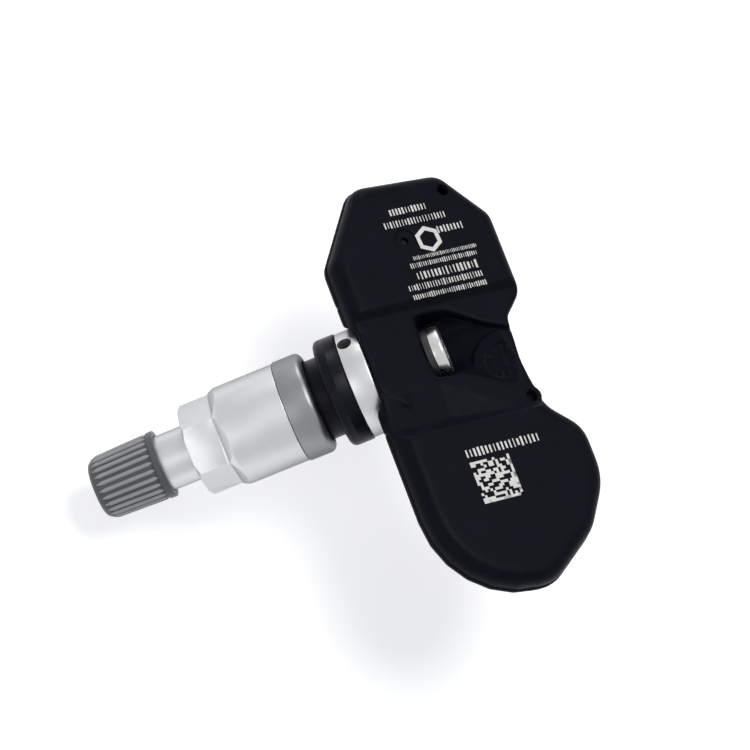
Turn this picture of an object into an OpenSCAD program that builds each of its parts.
// Clamp-in tyre pressure sensor: a two-lobed moulded housing on a metal valve.
// The origin is on the valve axis, on the face of the grommet that meets the rim.
// +Z is the label side's normal, +X runs towards the battery lobe, +Y away from the valve.

/* [Housing outline] */
// Reach of the small lobe from the valve axis
small_reach = 24.8; // [23:0.1:27]
// Reach of the battery lobe from the valve axis
big_reach = 34.7; // [33.6:0.1:38]
// Place of the straight side that faces the valve
valve_side = 1.6; // [1:0.1:2.2]
// Place of the small lobe's far side
small_far = 27.5; // [26.5:0.1:29]
// Place of the battery lobe's far side
big_far = 28.9; // [28:0.1:31]
// Place of the waist's far side
waist_far = 24.1; // [23.6:0.1:24.8]
// Length of the small lobe's cut corner beside the valve
near_cut = 10.3; // [9:0.1:11.5]
// Length of the small lobe's cut corner on the far side
far_cut = 7.8; // [6.5:0.1:9]

/* [Housing section] */
// Height of the label plateau
label_z = 10.6; // [10.2:0.1:11.4]
// Depth of the housing below the rim seat
base_drop = 2.4; // [2:0.1:3]
// Height of the seam between shell and base cover
seam_z = 7.7; // [7.4:0.1:7.9]
// Wall of the shell and of the base cover
wall = 1.2; // [1:0.05:1.4]
// Width of the plateau's rounded edge
edge_in = 1.9; // [1.2:0.1:2.4]
// Depth of the plateau's rounded edge
edge_drop = 2.2; // [1.5:0.1:2.4]
// Slope of the base cover's sides from upright
hull_slope = 30; // [27:1:32]
// Step of the shell's rim inside the cover's rim
rim_step = 0.2; // [0.1:0.05:0.4]
// Height of the cover's upright rim
rim_h = 0.5; // [0.3:0.1:0.8]

/* [Waist] */
// Depth of the waist below the label plateau
waist_drop = 1; // [0.6:0.1:1.3]
// Depth of the scoops below the waist
scoop_drop = 0.9; // [0.5:0.1:1]
// Where the small lobe's plateau ends
small_plateau_end = -7; // [-7.6:0.1:-6.6]
// Where the battery lobe's plateau starts
big_plateau_start = 11.5; // [11:0.1:12.2]
// Where the scoops start, beside the tool channel
scoop_start = 4.9; // [4.6:0.1:5.4]
// Radius of the pocket that clears the valve's collar
pocket_r = 8.3; // [8:0.1:8.6]
// Radius of the trough that the screwdriver runs in
trough_r = 4.3; // [4:0.1:4.6]
// Half width of the tool channel's mouth beside the screw
mouth_half = 4.6; // [4.3:0.1:4.9]
// Radius of the raised pad at the channel's far end
pad_r = 4.2; // [3.8:0.1:4.6]
// Depth of the pad below the valve axis
pad_depth = 3.2; // [3:0.1:3.6]
// Radius of the moulding clock on the pad
clock_r = 2.5; // [2:0.1:2.8]
// Depth of the moulding clock
clock_depth = 0.25; // [0.1:0.05:0.4]

/* [Air port] */
// Place of the pressure port along the housing
port_x = -15.4; // [-17:0.1:-14]
// Place of the pressure port across the housing
port_y = 13.2; // [12:0.1:15]
// Radius of the pressure port
port_r = 0.55; // [0.4:0.05:0.8]
// Radius of the dimple round the port
dimple_r = 1.6; // [1.2:0.1:1.8]
// Depth of the dimple
dimple_depth = 0.3; // [0.2:0.05:0.4]
// Radius of the blind locating holes in the far edge
locator_r = 1; // [0.7:0.05:1.1]
// Depth of the blind locating holes below the label plateau
locator_depth = 2.2; // [1.6:0.1:2.4]

/* [Valve] */
// Tilt of the valve below the label plane
valve_tilt = 31; // [30:0.5:32]
// Thickness of the grommet's flange
flange_t = 3.2; // [3:0.1:3.6]
// How far the grommet's flange stands out past the stem's collar
flange_over = 0.15; // [0:0.05:0.3]
// Radius of the grommet's neck, for a rim hole of 11.5 mm
neck_r = 5.55; // [5.4:0.05:5.65]
// Length of the grommet's neck
neck_l = 2.9; // [2.4:0.1:3]
// Radius of the stem's collar
collar_r = 7.35; // [7.1:0.05:7.5]
// Thickness of the collar's upright edge
collar_t = 3.2; // [2.8:0.1:3.4]
// Depth of the ball behind the collar's edge
ball_depth = 3.3; // [3:0.1:3.5]
// Radius of the stem inside the grommet
shank_r = 4; // [3.95:0.05:4.2]
// Outer radius of the stem's thread
thread_r = 3.85; // [3.8:0.05:3.9]
// Length of the stem from the rim seat to its end
stem_l = 31.5; // [31:0.1:32]
// Radius of the air outlet in the collar
outlet_r = 1; // [0.8:0.05:1.1]
// Angle of the air outlet round the valve
outlet_turn = 125; // [0:1:359]

/* [Union nut] */
// Gap between the rim seat and the clamp ring
clamp_gap = 2; // [1.8:0.1:2.4]
// Length of the clamp ring
ring_l = 3.9; // [3.6:0.1:4.2]
// Radius of the clamp ring
ring_r = 7.05; // [6.9:0.05:7.3]
// Rounding of the clamp ring's shoulder
ring_round = 0.9; // [0.5:0.1:1]
// Length of the nut's round barrel
barrel_l = 8.9; // [8.5:0.1:9.3]
// Radius of the nut's round barrel
barrel_r = 6.9; // [6.7:0.05:7]
// Length of the cone between barrel and hexagon
cone_l = 0.9; // [0.6:0.1:1.2]
// Length of the hexagon
hex_l = 4.3; // [4:0.1:4.5]
// Size of the hexagon across its flats
hex_af = 11; // [10.8:0.1:11.4]
// Angle of the hexagon's front flat round the valve
hex_turn = 74; // [0:1:359]

/* [Valve cap] */
// Thickness of the cap's closed end
cap_roof = 1.75; // [1.5:0.05:2]
// Length of the cap
cap_l = 9.8; // [9.6:0.1:10.4]
// Radius of the cap at its open end
cap_mouth_r = 4.72; // [4.65:0.01:4.85]
// Radius of the cap at its closed end
cap_tip_r = 4.4; // [4.35:0.05:4.6]
// Length of the plain band at the cap's open end
cap_band = 0.9; // [0.7:0.1:1.2]
// Number of flutes round the cap
flutes = 26; // [20:1:28]
// Radius of each flute
flute_r = 0.34; // [0.25:0.01:0.36]
// Thickness of the seal inside the cap
cap_seal_t = 0.7; // [0.6:0.05:0.8]

/* [Valve core] */
// Radius of the core's threaded head
core_head_r = 2.5; // [2.4:0.05:2.55]
// Length of the core's threaded head
core_head_l = 3; // [2.8:0.1:3.2]
// Radius of the core's barrel
core_barrel_r = 1.65; // [1.6:0.05:1.75]
// Length of the core's barrel
core_barrel_l = 6; // [5.8:0.1:6.4]
// Radius of the core's pin
pin_r = 0.45; // [0.4:0.01:0.48]
// Radius of the pin's shoulder
shoulder_r = 0.95; // [0.85:0.05:1]
// Travel of the pin when it is pressed
pin_travel = 1.2; // [0.8:0.1:1.3]
// Radius of the core spring's wire
wire_r = 0.13; // [0.1:0.01:0.14]
// Turns of the core spring
spring_turns = 7; // [5:1:8]

/* [Retaining screw] */
// Radius of the screw's head
head_r = 3.4; // [3.2:0.1:3.5]
// Thickness of the screw's head
head_t = 1.6; // [1.4:0.1:1.8]
// Radius of the screw's shank
screw_r = 2; // [1.9:0.05:2]
// Thickness of the washer under the screw's head
washer_t = 0.9; // [0.6:0.1:1]
// Thickness of the housing under the washer
seat_wall = 4; // [3.8:0.1:4.2]
// Size of the head's hexagon socket across its flats
socket_af = 3; // [2.5:0.1:3.2]

/* [Electronics] */
// Height of the circuit board's underside
board_z = 4.2; // [4:0.1:4.4]
// Thickness of the circuit board
board_t = 1; // [0.8:0.1:1.2]
// Height of the pressure sensor
sensor_h = 2.2; // [2:0.1:2.4]
// Radius of the battery
cell_r = 8; // [7.5:0.1:8.2]
// Thickness of the battery
cell_t = 3.2; // [3:0.1:3.3]
// Height of the battery's underside
cell_z = 4.6; // [4.5:0.1:4.8]
// Thickness of the battery's tabs
tab_t = 0.2; // [0.15:0.05:0.3]
// Width of the battery's tabs
tab_w = 2.4; // [2:0.1:2.8]
// Radius of the posts that carry the board and the battery
post_r = 1.2; // [1:0.1:1.4]

/* [Hidden] */
$fn = 96;
eps = 0.01;
far = 60;

// Clearances
seat_clear = 0.05;
thread_clear = 0.1;
fit_clear = 0.1;
soft_clear = 0.3;

// Names of common sizes
cut_over = 1;

// Heights in the housing
base_z = -base_drop;
floor_z = base_z + wall;
roof_z = label_z - wall;
waist_z = label_z - waist_drop;
scoop_z = waist_z - scoop_drop;
slope_run = tan(hull_slope);
side_top = seam_z - rim_h;
side_wall = wall / cos(hull_slope);
inner_inset = wall + rim_step + 0.9;
block_half = pocket_r + 1;
block_far = 15.4;
liner_half = trough_r + wall;
scoop_run = big_plateau_start - waist_drop - scoop_drop - scoop_start;
scoop_turn = -31;
valley_y = valve_side + 9.2;

// Places along the valve, measured from the rim seat towards the cap
collar_front = -flange_t;
collar_back = collar_front - collar_t;
ball_r = norm([collar_r, collar_t]);
flange_r = collar_r + flange_over;
ball_end = collar_back - ball_depth;
facet_t = collar_back - 1.2;
seat_t = ball_end - fit_clear;
washer_seat = seat_t - seat_wall;
head_near = washer_seat - washer_t;
head_far = head_near - head_t;
ring_front = clamp_gap;
ring_back = ring_front + ring_l;
nut_back = ring_back + seat_clear;
hub_l = 1;
hub_r = neck_r;
ring_bore_r = neck_r + soft_clear;
cone_start = nut_back + barrel_l;
hex_start = cone_start + cone_l;
nut_front = hex_start + hex_l;
hex_corner_r = hex_af / 2 / cos(30);
thread_bore_r = thread_r + thread_clear;
seal_back = stem_l + seat_clear;
seal_front = seal_back + cap_seal_t;
cap_end = seal_front + fit_clear + cap_roof;
cap_mouth = cap_end - cap_l;

// Places inside the stem and the core
core_bore_r = core_head_r + seat_clear;
core_top = stem_l - 0.5;
core_shelf = core_top - core_head_l;
core_low = core_shelf - core_barrel_l;
chamber_r = shoulder_r + 0.25;
chamber_low = core_low + 1.6;
shoulder_t = 0.4;
shoulder_low = core_shelf - 0.3;
ring_seal_r = core_barrel_r + 0.45;
ring_seal_t = 1.1;
passage_r = 1.5;
pin_top = stem_l - 0.15;
cup_t = 1.2;
outlet_t = (collar_front + collar_back) / 2 + 0.4;
screw_tip = collar_back - 0.1;
pad_x = 3.5;
pad_t = washer_seat - 9.1;

// Places of the electronics
board_top = board_z + board_t;
board_inset = (side_top - board_z) * slope_run + side_wall + soft_clear;
board_end = -block_half - 0.9;
sensor_top = board_top + sensor_h;
crystal_x = -small_reach + 6.2;
antenna_x = -small_reach + 4.9;
antenna_y = valve_side + 8;
antenna_l = 6.4;
crystal_y = antenna_y + antenna_l + 1.9;
coil_x = board_end - 3.3;
coil_y = valve_side + 6.4;
chip_x = board_end - 3.4;
chip_y = small_far - 8.5;
filter_t = 0.2;
filter_r = 1.7;
cell_x = big_reach - 13.6;
cell_y = valve_side + 13.2;
cell_foot_r = cell_r - 1.4;
link_w = 1;
link_z = floor_z + 3.8;
link_end = board_end - 1.2;
POSTS = [
    [-16.6, 12.5, board_z],
    [-11, 8.9, board_z],
    [-14, 19.8, board_z],
    [cell_x - 4, cell_y - 3.5, cell_z],
    [cell_x - 4, cell_y + 3.5, cell_z],
    [cell_x + 5, cell_y, cell_z]
];

// The housing's outline: each corner as [x, y, radius]
near_corner_x = -small_reach + near_cut;
lobe_r = 12.6;
flat_x = big_reach - 5.4;
flat_y = big_far - 4.4;
OUTLINE = [
    [near_corner_x, valve_side, 3],
    [big_reach, valve_side, lobe_r],
    [big_reach, valve_side + 15.2, 6],
    [flat_x, flat_y, 8],
    [big_reach - 11.9, big_far, 9],
    [15.2, big_far, 5],
    [10.9, waist_far + 0.5, 4],
    [4.3, waist_far - 0.4, 12],
    [-2.1, waist_far + 0.2, 2],
    [-5.2, small_far, 3],
    [-small_reach + far_cut, small_far, 3],
    [-small_reach + 0.5, small_far - far_cut * 0.72, 3],
    [-small_reach, valve_side + near_cut * 0.72, 3]
];

// Direction of a vector
function unit(v) = v / norm(v);
// Sign of the turn from one direction to the next: 1 is a left turn
function turn(a, b) = sign(a[0] * b[1] - a[1] * b[0]);
// The corner i of a loop after every side has moved inwards by d
function moved_corner(loop, i, d) =
    let (
        n = len(loop),
        p = loop[i],
        before = unit([p[0] - loop[(i + n - 1) % n][0], p[1] - loop[(i + n - 1) % n][1]]),
        after = unit([loop[(i + 1) % n][0] - p[0], loop[(i + 1) % n][1] - p[1]]),
        bisect = unit([-before[1] - after[1], before[0] + after[0]]),
        cos_half = bisect * [-before[1], before[0]],
        side = turn(before, after)
    )
    [p[0] + bisect[0] * d / cos_half, p[1] + bisect[1] * d / cos_half, max(p[2] - side * d, 0.3)];
// Points of one rounded corner
function corner_points(loop, i, steps) =
    let (
        n = len(loop),
        p = [loop[i][0], loop[i][1]],
        r = loop[i][2],
        before = unit([loop[(i + n - 1) % n][0], loop[(i + n - 1) % n][1]] - p),
        after = unit([loop[(i + 1) % n][0], loop[(i + 1) % n][1]] - p),
        half = acos(max(-1, min(1, before * after))) / 2,
        centre = p + unit(before + after) * r / sin(half),
        from = p + before * r / tan(half) - centre,
        to = p + after * r / tan(half) - centre,
        swing = 180 - 2 * half,
        side = turn(-before, after)
    )
    [for (k = [0:steps]) let (a = side * swing * k / steps)
        centre + [from[0] * cos(a) - from[1] * sin(a), from[0] * sin(a) + from[1] * cos(a)]];
// Points of a rounded loop whose sides have moved inwards by d
function ring_points(loop, d, steps = 6) =
    let (inner = [for (i = [0:len(loop) - 1]) moved_corner(loop, i, d)])
    [for (i = [0:len(loop) - 1]) each corner_points(inner, i, steps)];

// A solid through rings of one outline, each level as [height, inset], cut flat at two heights
module loft(loop, levels, from, to) {
    rings = [for (level = levels) ring_points(loop, level[1])];
    n = len(rings[0]);
    last = len(levels) - 1;
    points = [for (i = [0:last]) for (p = rings[i]) [p[0], p[1], levels[i][0]]];
    low = [[for (j = [0:n - 1]) j]];
    high = [[for (j = [n - 1:-1:0]) last * n + j]];
    sides = [for (i = [0:last - 1]) for (j = [0:n - 1]) let (k = (j + 1) % n)
        [i * n + j, (i + 1) * n + j, (i + 1) * n + k, i * n + k]];
    intersection() {
        polyhedron(points = points, faces = concat(low, high, sides), convexity = 6);
        translate([-far, -far, from]) cube([2 * far, 2 * far, to - from]);
    }
}

// Children placed on the valve: their +Z runs along the valve towards the cap
module on_valve() {
    rotate([90 + valve_tilt, 0, 0]) children();
}

// A round bar along the valve between two places
module valve_bar(from, to, r) {
    on_valve() translate([0, 0, min(from, to)]) cylinder(h = abs(to - from), r = r);
}

// The housing's plan, moved inwards by d, as a straight prism
module plan(from, to, d) {
    translate([0, 0, from]) linear_extrude(height = to - from) polygon(ring_points(OUTLINE, d));
}

// The shell above the seam: an upright rim, then a rounded edge up to the label plateau
module shell_dome() {
    edge_low = label_z - edge_drop;
    arc = [for (a = [0:15:90]) [edge_low + edge_drop * sin(a), rim_step + edge_in * (1 - cos(a))]];
    past = 2 * arc[6] - arc[5];
    loft(OUTLINE, concat(
        [[seam_z - cut_over, rim_step]],
        [for (k = [0:5]) arc[k]],
        [past]
    ), seam_z, label_z);
}

// The base cover's outer form, tapering to a flat base with a small chamfer
module hull_form() {
    side_low = base_z + 0.5;
    low_inset = (side_top - side_low) * slope_run;
    loft(OUTLINE, [
        [base_z - 0.1, low_inset + 0.96],
        [side_low, low_inset],
        [side_top, 0],
        [seam_z + cut_over, 0]
    ], base_z, seam_z);
}

// The space inside the base cover
module hull_inside() {
    low_inset = (side_top - floor_z + 0.2) * slope_run;
    loft(OUTLINE, [
        [floor_z - 0.2, low_inset + side_wall],
        [side_top, side_wall],
        [seam_z + 2 * cut_over, side_wall]
    ], floor_z, seam_z + cut_over);
}

// A prism across the whole housing, from its profile as [x, z]
module across(profile) {
    translate([0, far, 0]) rotate([90, 0, 0]) linear_extrude(height = 2 * far) polygon(profile);
}

// The step from the plateaus down to the waist
module waist_cut() {
    across([
        [small_plateau_end - cut_over, label_z + cut_over],
        [small_plateau_end + waist_drop, waist_z],
        [big_plateau_start - waist_drop, waist_z],
        [big_plateau_start + cut_over, label_z + cut_over]
    ]);
}

// The space above a slope that falls along +X from the waist
module above_slope(fall) {
    across([[0, waist_z], [far, waist_z - fall * far], [far, label_z + cut_over], [0, label_z + cut_over]]);
}

// Two scoops that meet in a valley and end at the step up to the battery lobe
module scoops() {
    fall = scoop_drop / scoop_run;
    intersection() {
        across([
            [scoop_start - cut_over, label_z + cut_over],
            [scoop_start - cut_over, scoop_z - cut_over],
            [big_plateau_start - label_z + scoop_z - cut_over, scoop_z - cut_over],
            [big_plateau_start + cut_over, label_z + cut_over]
        ]);
        union() {
            intersection() {
                translate([scoop_start, 0, 0]) above_slope(fall);
                translate([-far, valley_y - 2 * far, 0]) cube([2 * far, 2 * far, far]);
            }
            intersection() {
                translate([scoop_start, valley_y, 0]) rotate([0, 0, scoop_turn])
                    above_slope(fall / cos(scoop_turn));
                translate([-far, valley_y - eps, 0]) cube([2 * far, far, far]);
            }
        }
    }
}

// The tool channel: trough along the valve axis, open above, with a raised pad at its end
module tool_channel() {
    mouth = [
        [-mouth_half - 0.5, 0, 0.8],
        [mouth_half - 0.6, 0, 0.8],
        [mouth_half - 0.4, 4, 4],
        [7.3, 9, 5],
        [7.8, 16, 0.5],
        [1.6, 16, 0.5],
        [-2.2, 8.2, 4],
        [-mouth_half - 0.5, 4.2, 3]
    ];
    on_valve() difference() {
        intersection() {
            translate([0, -far / 2, washer_seat]) rotate([-90, 0, 0])
                linear_extrude(height = far) polygon(ring_points(mouth, 0));
            union() {
                translate([0, 0, washer_seat - far / 2]) cylinder(h = far / 2, r = trough_r);
                translate([-trough_r, 0, washer_seat - far / 2]) cube([trough_r * 2, far, far / 2]);
                translate([-far, -pad_depth, washer_seat - far]) cube([far * 2, far, far]);
            }
        }
        pad();
    }
}

// The raised pad at the far end of the trough
module pad() {
    translate([pad_x, -pad_depth, pad_t]) rotate([90, 0, 0]) cylinder(h = far / 2, r = pad_r);
}

// The moulding clock: a shallow round well with a bar and radial ticks left standing
module moulding_clock() {
    ticks = 12;
    tick_w = 0.22;
    on_valve() translate([pad_x, -pad_depth, pad_t]) rotate([90, 0, 0]) difference() {
        translate([0, 0, -eps]) cylinder(h = clock_depth + eps, r = clock_r);
        translate([0, 0, clock_depth / 2]) {
            for (i = [0:ticks - 1]) rotate([0, 0, i * 360 / ticks])
                translate([clock_r * 0.62, -tick_w / 2, 0]) cube([clock_r * 0.26, tick_w, 1]);
            translate([-clock_r * 0.36, -tick_w / 2, 0]) cube([clock_r * 0.72, tick_w, 1]);
        }
    }
}

// The space of the shell's block behind the valve, from the rim seat to the washer's seat
module block_space(grow) {
    intersection() {
        on_valve() translate([-block_half - grow, -far, washer_seat - grow])
            cube([2 * (block_half + grow), 2 * far, collar_front - washer_seat + grow]);
        translate([-far, -far, base_z - cut_over]) cube([2 * far, block_far + far + grow, 2 * far]);
    }
}

module valve_block() {
    intersection() {
        block_space(0);
        hull_form();
    }
}

// The walls and the floor of the tool channel below the seam
module channel_liner() {
    intersection() {
        on_valve() translate([-liner_half - 0.6, -liner_half, washer_seat - 8.2])
            cube([2 * liner_half + 2, far, 9]);
        translate([-far, 0, floor_z]) cube([2 * far, waist_far - 2.7, seam_z - floor_z + 0.5]);
    }
}

// The recess that takes the stem's ball, and the pocket round its collar
module valve_seat() {
    on_valve() {
        translate([0, 0, facet_t]) cylinder(h = far, r = pocket_r);
        intersection() {
            translate([0, 0, collar_front]) sphere(r = ball_r + seat_clear);
            translate([-far / 2, -far / 2, seat_t]) cube([far, far, far]);
        }
    }
}

module small_lobe_cavity() {
    intersection() {
        plan(seam_z - eps, roof_z, inner_inset);
        translate([-far, -far, 0]) cube([far - block_half, 2 * far, far]);
    }
}

module big_lobe_cavity() {
    intersection() {
        plan(seam_z - eps, roof_z, inner_inset);
        translate([big_plateau_start + 1.5, -far, 0]) cube([far, 2 * far, far]);
    }
}

module blind_hole(x, y) {
    translate([x, y, label_z - locator_depth]) cylinder(h = far, r = locator_r);
}

module housing_shell() {
    color([0.09, 0.09, 0.11]) difference() {
        union() {
            difference() {
                shell_dome();
                waist_cut();
                scoops();
                small_lobe_cavity();
                big_lobe_cavity();
            }
            valve_block();
            channel_liner();
        }
        valve_seat();
        tool_channel();
        moulding_clock();
        valve_bar(seat_t + 1, washer_seat - 1, screw_r + soft_clear);
        translate([port_x, port_y, roof_z - 1]) cylinder(h = far, r = port_r);
        translate([port_x, port_y, label_z - dimple_depth]) cylinder(h = far, r = dimple_r);
        translate([port_x, port_y, roof_z - eps]) cylinder(h = filter_t + eps, r = filter_r);
        blind_hole(-small_reach + 3.1, small_far - far_cut * 0.72);
        blind_hole(9.4, waist_far - 0.9);
    }
}

module base_cover() {
    color([0.16, 0.16, 0.18]) difference() {
        union() {
            difference() {
                hull_form();
                hull_inside();
            }
            for (p = POSTS) translate([p[0], p[1], floor_z - eps])
                cylinder(h = p[2] - floor_z + eps, r = post_r, $fn = 32);
        }
        block_space(fit_clear);
        valve_seat();
    }
}

module port_filter() {
    color("white") translate([port_x, port_y, roof_z]) cylinder(h = filter_t, r = filter_r - seat_clear);
}

module port_gasket() {
    color([0.2, 0.2, 0.2]) translate([port_x, port_y, sensor_top]) difference() {
        cylinder(h = roof_z - sensor_top, r = filter_r - 0.3);
        translate([0, 0, -1]) cylinder(h = far, r = port_r + 0.15);
    }
}

module circuit_board() {
    color([0.05, 0.3, 0.15]) intersection() {
        plan(board_z, board_top, board_inset);
        translate([-far, -far, 0]) cube([far + board_end, 2 * far, far]);
    }
}

// A chip standing on the board
module chip(x, y, size) {
    translate([x - size[0] / 2, y - size[1] / 2, board_top]) cube(size);
}

module pressure_sensor() {
    color([0.12, 0.12, 0.12]) difference() {
        chip(port_x, port_y, [4.4, 4.4, sensor_h]);
        translate([port_x, port_y, sensor_top - 1]) cylinder(h = far, r = port_r);
    }
}

module controller_chip() {
    color([0.1, 0.1, 0.1]) chip(chip_x, chip_y, [5, 5, 0.9]);
}

module crystal_can() {
    color("silver") chip(crystal_x, crystal_y, [2.5, 3.2, 0.8]);
}

// A drum core with its winding between two flanges
module wake_up_coil() {
    color([0.35, 0.2, 0.1]) translate([coil_x, coil_y, board_top]) {
        for (x = [-3, 2.2]) translate([x, -1.5, 0]) cube([0.8, 3, 2.6]);
        translate([-2.2, 0, 1.4]) rotate([0, 90, 0]) cylinder(h = 4.4, r = 1.15);
    }
}

// A bent metal strip that stands on the board as a loop
module transmit_antenna() {
    color([0.75, 0.7, 0.5]) translate([antenna_x, antenna_y, board_top])
        rotate([90, 0, 90]) linear_extrude(height = 0.4) difference() {
            square([antenna_l, 2.4]);
            translate([0.5, -1]) square([antenna_l - 1, 2.9]);
        }
}

module capacitors() {
    color([0.55, 0.45, 0.35]) {
        for (i = [0:2]) chip(board_end - 0.8, coil_y + 2.6 + 2.2 * i, [0.8, 1.6, 0.8]);
        chip(crystal_x - 0.2, crystal_y + 2.7, [1.6, 0.8, 0.8]);
    }
}

module coin_cell() {
    color([0.8, 0.8, 0.8]) translate([cell_x, cell_y, cell_z]) {
        cylinder(h = 0.5, r = cell_foot_r);
        translate([0, 0, 0.5]) cylinder(h = cell_t - 0.5, r = cell_r);
    }
}

// A tab's strip: down from its plate, under the tool channel and up to the board's underside
module tab_link(x, y, from_z) {
    translate([x, y, link_z]) cube([tab_t, link_w, from_z - link_z]);
    translate([link_end, y, link_z]) cube([x - link_end + tab_t, link_w, tab_t]);
    translate([link_end, y, link_z]) cube([tab_t, link_w, board_z - link_z]);
}

module battery_tab_lower() {
    x = block_half + 0.6;
    y = block_far + 1.2;
    color([0.8, 0.75, 0.6]) {
        translate([x, cell_y - tab_w / 2, cell_z - tab_t]) cube([cell_x + 3 - x, tab_w, tab_t]);
        translate([x, cell_y - tab_w / 2, cell_z - tab_t]) cube([2, y + link_w - cell_y + tab_w / 2, tab_t]);
        tab_link(x, y, cell_z);
    }
}

module battery_tab_upper() {
    x = big_plateau_start + 1.7;
    y = block_far + 2.9;
    over = cell_z + cell_t;
    color([0.8, 0.75, 0.6]) {
        translate([x, cell_y - tab_w / 2, over]) cube([cell_x + 5 - x, tab_w, tab_t]);
        translate([x, cell_y - tab_w / 2, over]) cube([2, y + link_w - cell_y + tab_w / 2, tab_t]);
        tab_link(x, y, over + tab_t);
    }
}

// The stem: ball and collar, shank, thread, and the bore for the core with the air passage
module valve_stem() {
    ball_steps = 10;
    ball_from = atan2(collar_back - collar_front, collar_r);
    ball_to = asin((ball_end - collar_front) / ball_r);
    tip = 0.4;
    color([0.8, 0.8, 0.82]) difference() {
        on_valve() rotate_extrude() polygon(concat(
            [[0, ball_end]],
            [for (k = [ball_steps:-1:0]) let (a = ball_from + (ball_to - ball_from) * k / ball_steps)
                [ball_r * cos(a), collar_front + ball_r * sin(a)]],
            [
                [collar_r, collar_front - 0.3],
                [collar_r - 0.3, collar_front],
                [shank_r, collar_front],
                [shank_r, neck_l + 0.2],
                [thread_r, neck_l + 0.6],
                [thread_r, stem_l - tip],
                [thread_r - tip, stem_l],
                [0, stem_l]
            ]
        ));
        valve_bar(core_shelf, stem_l + 1, core_bore_r);
        valve_bar(core_low - pin_travel - 3, core_shelf + eps, ring_seal_r);
        valve_bar(outlet_t - outlet_r, core_low, passage_r);
        on_valve() translate([0, 0, outlet_t]) rotate([0, 90, outlet_turn]) cylinder(h = far, r = outlet_r);
        valve_bar(ball_end - 1, screw_tip + 0.2, screw_r + seat_clear);
    }
}

module sealing_grommet() {
    edge = 0.8;
    color([0.05, 0.05, 0.05]) on_valve() rotate_extrude() polygon(concat(
        [[shank_r, collar_front], [flange_r, collar_front]],
        [for (a = [0:15:90]) [flange_r - edge + edge * cos(a), -edge + edge * sin(a)]],
        [[neck_r, 0], [neck_r, clamp_gap], [neck_r - 0.5, neck_l], [shank_r, neck_l]]
    ));
}

module clamp_ring() {
    color([0.45, 0.46, 0.47]) on_valve() rotate_extrude() polygon(concat(
        [[ring_bore_r, ring_front]],
        [for (a = [-90:15:0]) [ring_r - ring_round + ring_round * cos(a),
            ring_front + ring_round + ring_round * sin(a)]],
        [[ring_r, ring_back - 0.25], [ring_r - 0.25, ring_back], [ring_bore_r, ring_back]]
    ));
}

module union_nut() {
    cut = 0.6;
    color([0.75, 0.76, 0.78]) difference() {
        union() {
            on_valve() rotate_extrude() polygon([
                [0, nut_back - hub_l],
                [hub_r, nut_back - hub_l],
                [hub_r, nut_back],
                [barrel_r, nut_back],
                [barrel_r, cone_start],
                [hex_corner_r - 0.15, hex_start],
                [0, hex_start]
            ]);
            on_valve() intersection() {
                translate([0, 0, hex_start - cone_l / 2]) rotate([0, 0, hex_turn + 30])
                    cylinder(h = hex_l + cone_l / 2, r = hex_corner_r, $fn = 6);
                rotate_extrude() polygon([
                    [0, hex_start - 1],
                    [hex_corner_r + 1, hex_start - 1],
                    [hex_corner_r + 1, nut_front - cut * 2],
                    [hex_corner_r - cut, nut_front],
                    [0, nut_front]
                ]);
            }
        }
        valve_bar(nut_back - hub_l - 1, nut_front + 1, thread_bore_r);
    }
}

module valve_cap() {
    round_r = 1;
    flute_l = cap_l - cap_band;
    lean = atan((cap_mouth_r - cap_tip_r) / cap_l);
    color([0.42, 0.43, 0.44]) on_valve() difference() {
        rotate_extrude() polygon(concat(
            [[0, cap_mouth], [cap_mouth_r - 0.2, cap_mouth], [cap_mouth_r, cap_mouth + 0.2]],
            [for (a = [0:15:90]) [cap_tip_r - round_r + round_r * cos(a), cap_end - round_r + round_r * sin(a)]],
            [[0, cap_end]]
        ));
        for (i = [0:flutes - 1]) rotate([0, 0, i * 360 / flutes])
            translate([cap_mouth_r, 0, cap_mouth + cap_band]) rotate([0, -lean, 0])
                cylinder(h = flute_l + 1, r = flute_r, $fn = 16);
        translate([0, 0, cap_mouth - 1]) cylinder(h = seal_front + fit_clear - cap_mouth + 1, r = thread_bore_r);
    }
}

module cap_seal() {
    color([0.1, 0.1, 0.1]) valve_bar(seal_back, seal_front, thread_r - 0.15);
}

module core_body() {
    slot = 0.8;
    color([0.75, 0.6, 0.3]) difference() {
        on_valve() rotate_extrude() polygon([
            [0, core_low],
            [core_barrel_r, core_low],
            [core_barrel_r, core_shelf],
            [core_head_r, core_shelf + 0.4],
            [core_head_r, core_top - 0.3],
            [core_head_r - 0.3, core_top],
            [0, core_top]
        ]);
        valve_bar(core_low - 1, core_top + 1, pin_r + seat_clear);
        valve_bar(chamber_low, core_top + 1, chamber_r);
        on_valve() for (x = [-1, 1]) translate([x * (core_head_r + 0.6) - 1, -far, core_top - slot])
            cube([2, 2 * far, 1]);
    }
}

module core_ring() {
    color([0.85, 0.1, 0.1]) difference() {
        valve_bar(core_shelf - ring_seal_t, core_shelf, ring_seal_r - seat_clear);
        valve_bar(core_shelf - 3, core_shelf + 1, core_barrel_r);
    }
}

module core_pin() {
    color([0.8, 0.7, 0.4]) {
        valve_bar(core_low - cup_t, pin_top, pin_r);
        valve_bar(shoulder_low, shoulder_low + shoulder_t, shoulder_r);
    }
}

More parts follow.
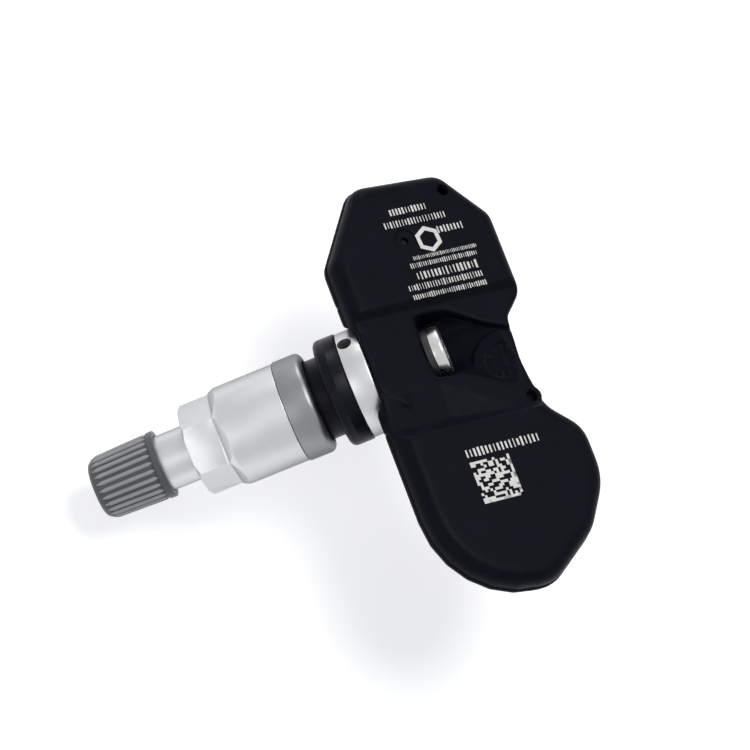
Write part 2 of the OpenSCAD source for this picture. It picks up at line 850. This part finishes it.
// A round wire swept along a helix on the core's axis
module core_spring() {
    coil_r = (shoulder_r + pin_r) / 2 + 0.12;
    per_turn = 12;
    sides = 6;
    low = chamber_low + wire_r + eps;
    high = shoulder_low - wire_r - eps;
    n = spring_turns * per_turn;
    points = [for (i = [0:n]) let (a = i * 360 / per_turn, z = low + (high - low) * i / n)
        for (j = [0:sides - 1]) let (b = j * 360 / sides, r = coil_r + wire_r * cos(b))
            [r * cos(a), r * sin(a), z + wire_r * sin(b)]];
    faces = [for (i = [0:n - 1]) for (j = [0:sides - 1]) let (k = (j + 1) % sides) each [
        [i * sides + j, (i + 1) * sides + k, i * sides + k],
        [i * sides + j, (i + 1) * sides + j, (i + 1) * sides + k]
    ]];
    ends = [[for (j = [0:sides - 1]) j], [for (j = [sides - 1:-1:0]) n * sides + j]];
    color("silver") on_valve() polyhedron(points = points, faces = concat(faces, ends), convexity = 8);
}

module core_cup() {
    color([0.1, 0.1, 0.1]) difference() {
        valve_bar(core_low - cup_t, core_low - seat_clear, passage_r - 0.2);
        valve_bar(core_low - cup_t - 1, core_low + 1, pin_r);
    }
}

module retaining_screw() {
    socket_r = socket_af / 2 / cos(30);
    color([0.85, 0.85, 0.87]) difference() {
        union() {
            valve_bar(head_near, screw_tip, screw_r);
            on_valve() rotate_extrude() polygon([
                [0, head_near],
                [head_r, head_near],
                [head_r, head_far + 0.5],
                [head_r - 0.5, head_far],
                [0, head_far]
            ]);
        }
        on_valve() translate([0, 0, head_far - 1]) cylinder(h = head_t, r = socket_r, $fn = 6);
    }
}

module screw_washer() {
    color([0.15, 0.15, 0.15]) difference() {
        valve_bar(washer_seat, head_near, head_r);
        valve_bar(washer_seat + 1, head_near - 1, screw_r + fit_clear);
    }
}

housing_shell();
base_cover();
port_filter();
port_gasket();
circuit_board();
pressure_sensor();
controller_chip();
crystal_can();
wake_up_coil();
transmit_antenna();
capacitors();
coin_cell();
battery_tab_upper();
battery_tab_lower();
valve_stem();
sealing_grommet();
clamp_ring();
union_nut();
valve_cap();
cap_seal();
core_body();
core_ring();
core_pin();
core_spring();
core_cup();
retaining_screw();
screw_washer();
